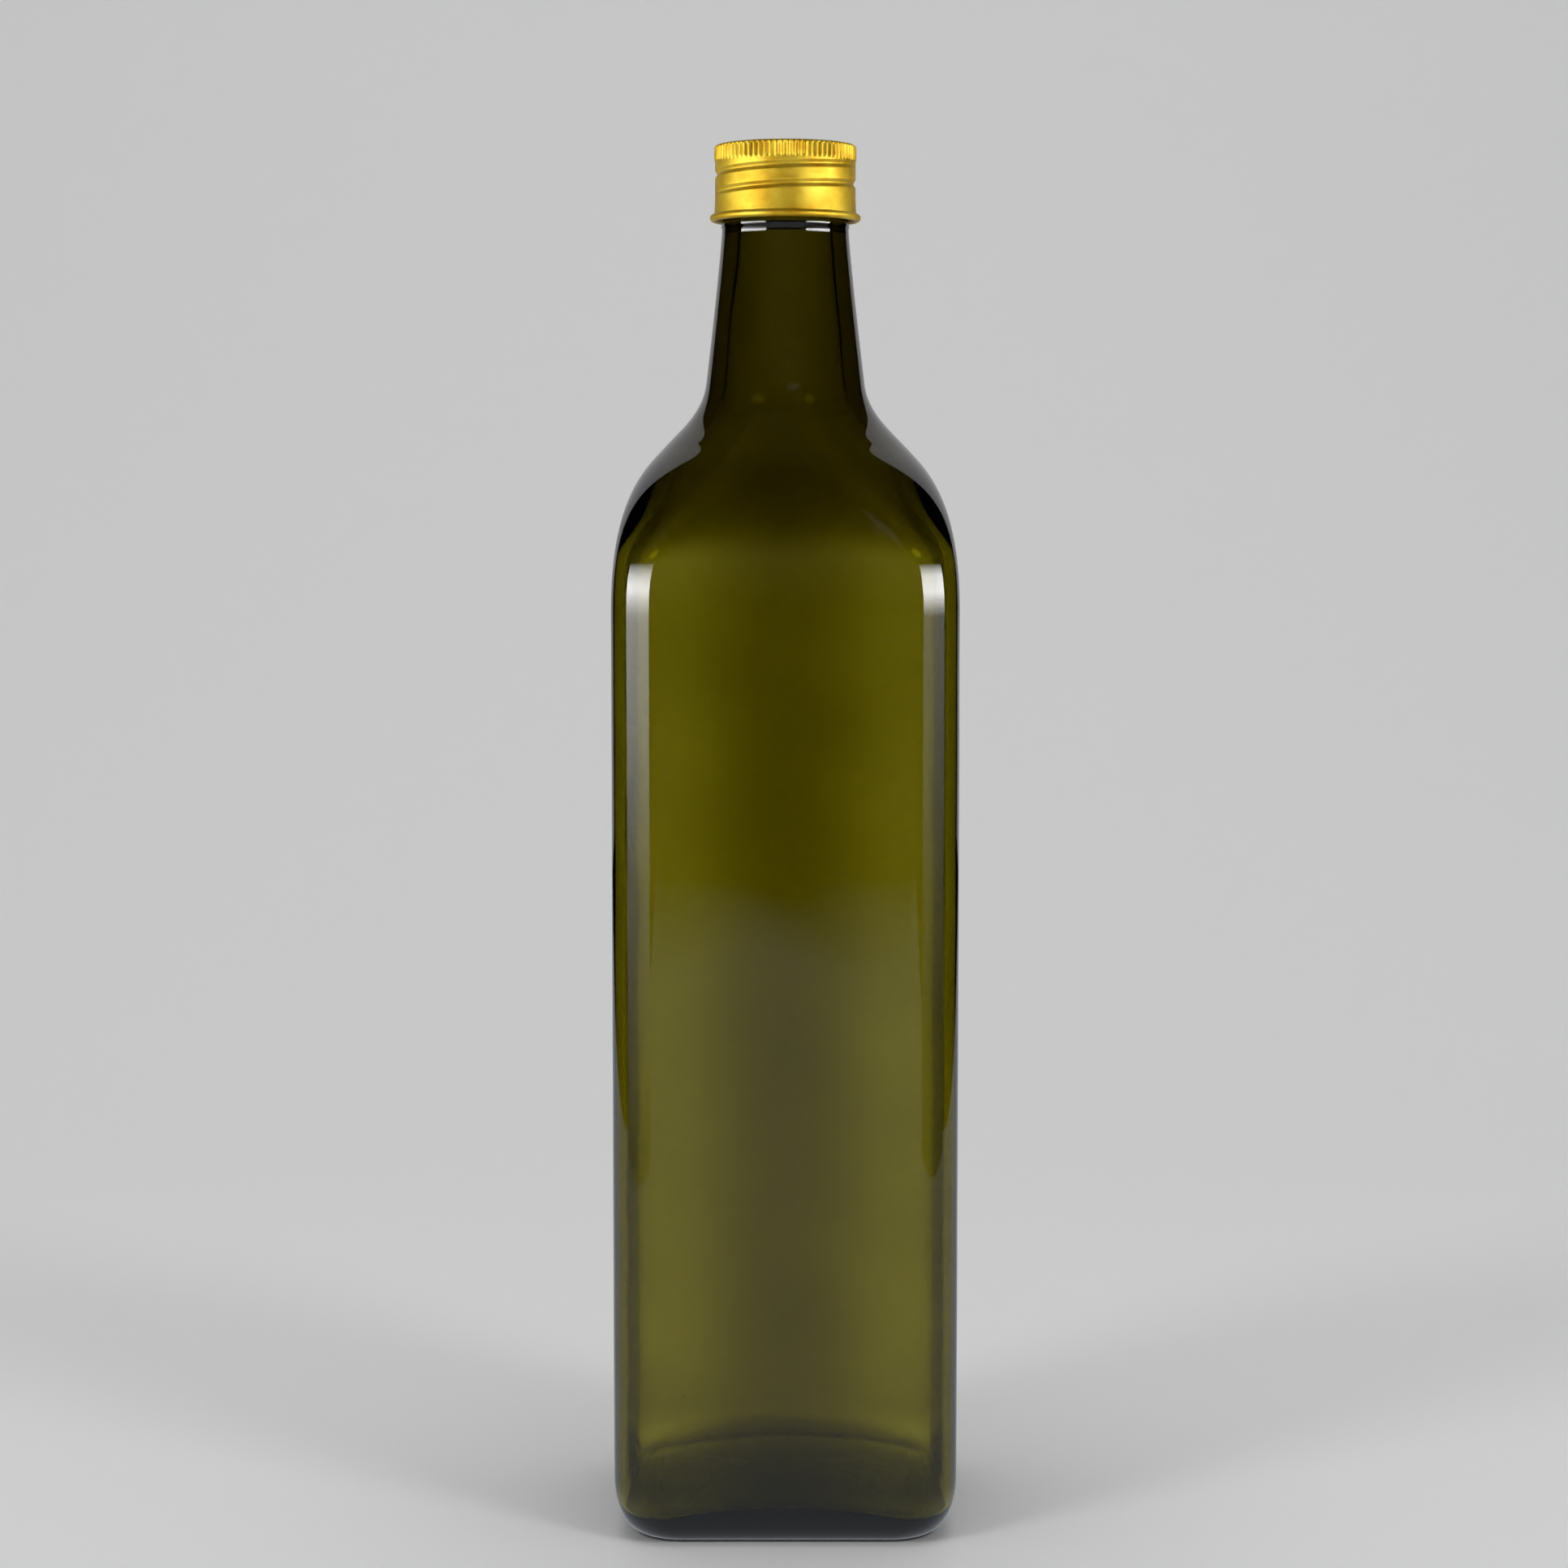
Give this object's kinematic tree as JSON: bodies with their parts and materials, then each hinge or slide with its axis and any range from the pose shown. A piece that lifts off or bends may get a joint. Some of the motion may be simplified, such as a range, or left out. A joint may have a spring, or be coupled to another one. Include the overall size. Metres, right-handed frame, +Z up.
{
  "type": "square glass oil bottle",
  "caption": "Tall square olive-green glass bottle for oil, with rounded corners, a tapering round neck, a pushed-up foot and a gold aluminium screw cap.",
  "frame": {"origin": "centre of the foot, on the surface that the bottle stands on", "axes": "+Z up along the bottle to its cap, -Y out of the front panel, +X to the right as seen from the front"},
  "size_m": [0.0756, 0.0756, 0.306],
  "materials": {
    "glass": "smooth blown glass, dark olive green, slightly wavy",
    "cap_metal": "satin aluminium with a gold lacquer"
  },
  "bodies": {
    "root": {"bottle": "glass", "cap": "cap_metal"}
  },
  "joints": []
}
